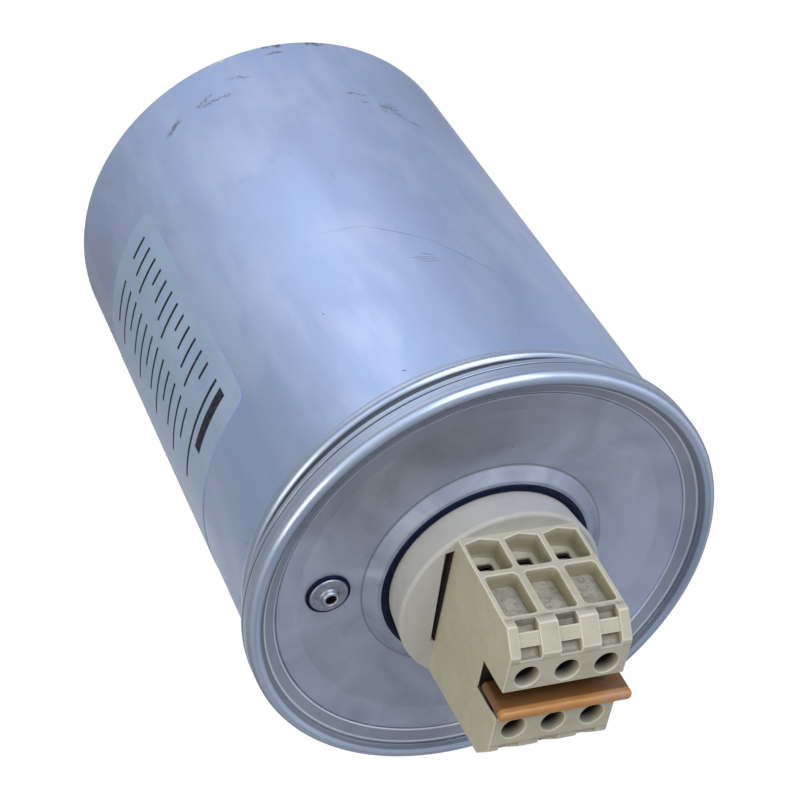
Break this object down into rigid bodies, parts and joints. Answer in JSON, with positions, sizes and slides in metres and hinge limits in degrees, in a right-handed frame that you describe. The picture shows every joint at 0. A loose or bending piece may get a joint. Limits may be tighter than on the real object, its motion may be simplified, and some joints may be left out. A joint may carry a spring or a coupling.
{
  "type": "power factor correction capacitor",
  "caption": "Cylindrical power factor correction capacitor: sealed aluminium can with a rolled seam and base stud, a screw terminal block on a round collar and a plug-in discharge resistor.",
  "frame": {"origin": "centre of the can's base, where the mounting stud leaves the seat", "axes": "+Z along the can towards the terminals, +X along the row of poles, +Y to the upper side of the terminal block"},
  "size_m": [0.1216, 0.1216, 0.2219],
  "materials": {
    "can_metal": "drawn, satin",
    "lid_metal": "pressed, satin",
    "rivet_metal": "bright",
    "seal_rubber": "smooth",
    "collar_plastic": "moulded",
    "block_plastic": "moulded",
    "clamp_steel": "plated",
    "bar_metal": "plain",
    "resistor_coating": "dipped coating",
    "label_film": "silvered film"
  },
  "bodies": {
    "root": {"can": "can_metal", "lid": "lid_metal", "terminal_gasket": "seal_rubber", "terminal_collar": "collar_plastic", "terminal_block": "block_plastic", "clamp_screws": "clamp_steel", "resistor_plate": "resistor_coating", "fill_rivet": "rivet_metal", "fill_seal": "seal_rubber", "rating_label": "label_film", "clamp_1_upper": "clamp_steel", "clamp_1_lower": "clamp_steel", "phase_bar_1": "bar_metal", "resistor_pin_1": "clamp_steel", "clamp_2_upper": "clamp_steel", "clamp_2_lower": "clamp_steel", "phase_bar_2": "bar_metal", "resistor_pin_2": "clamp_steel", "clamp_3_upper": "clamp_steel", "clamp_3_lower": "clamp_steel", "phase_bar_3": "bar_metal", "resistor_pin_3": "clamp_steel"}
  },
  "joints": []
}
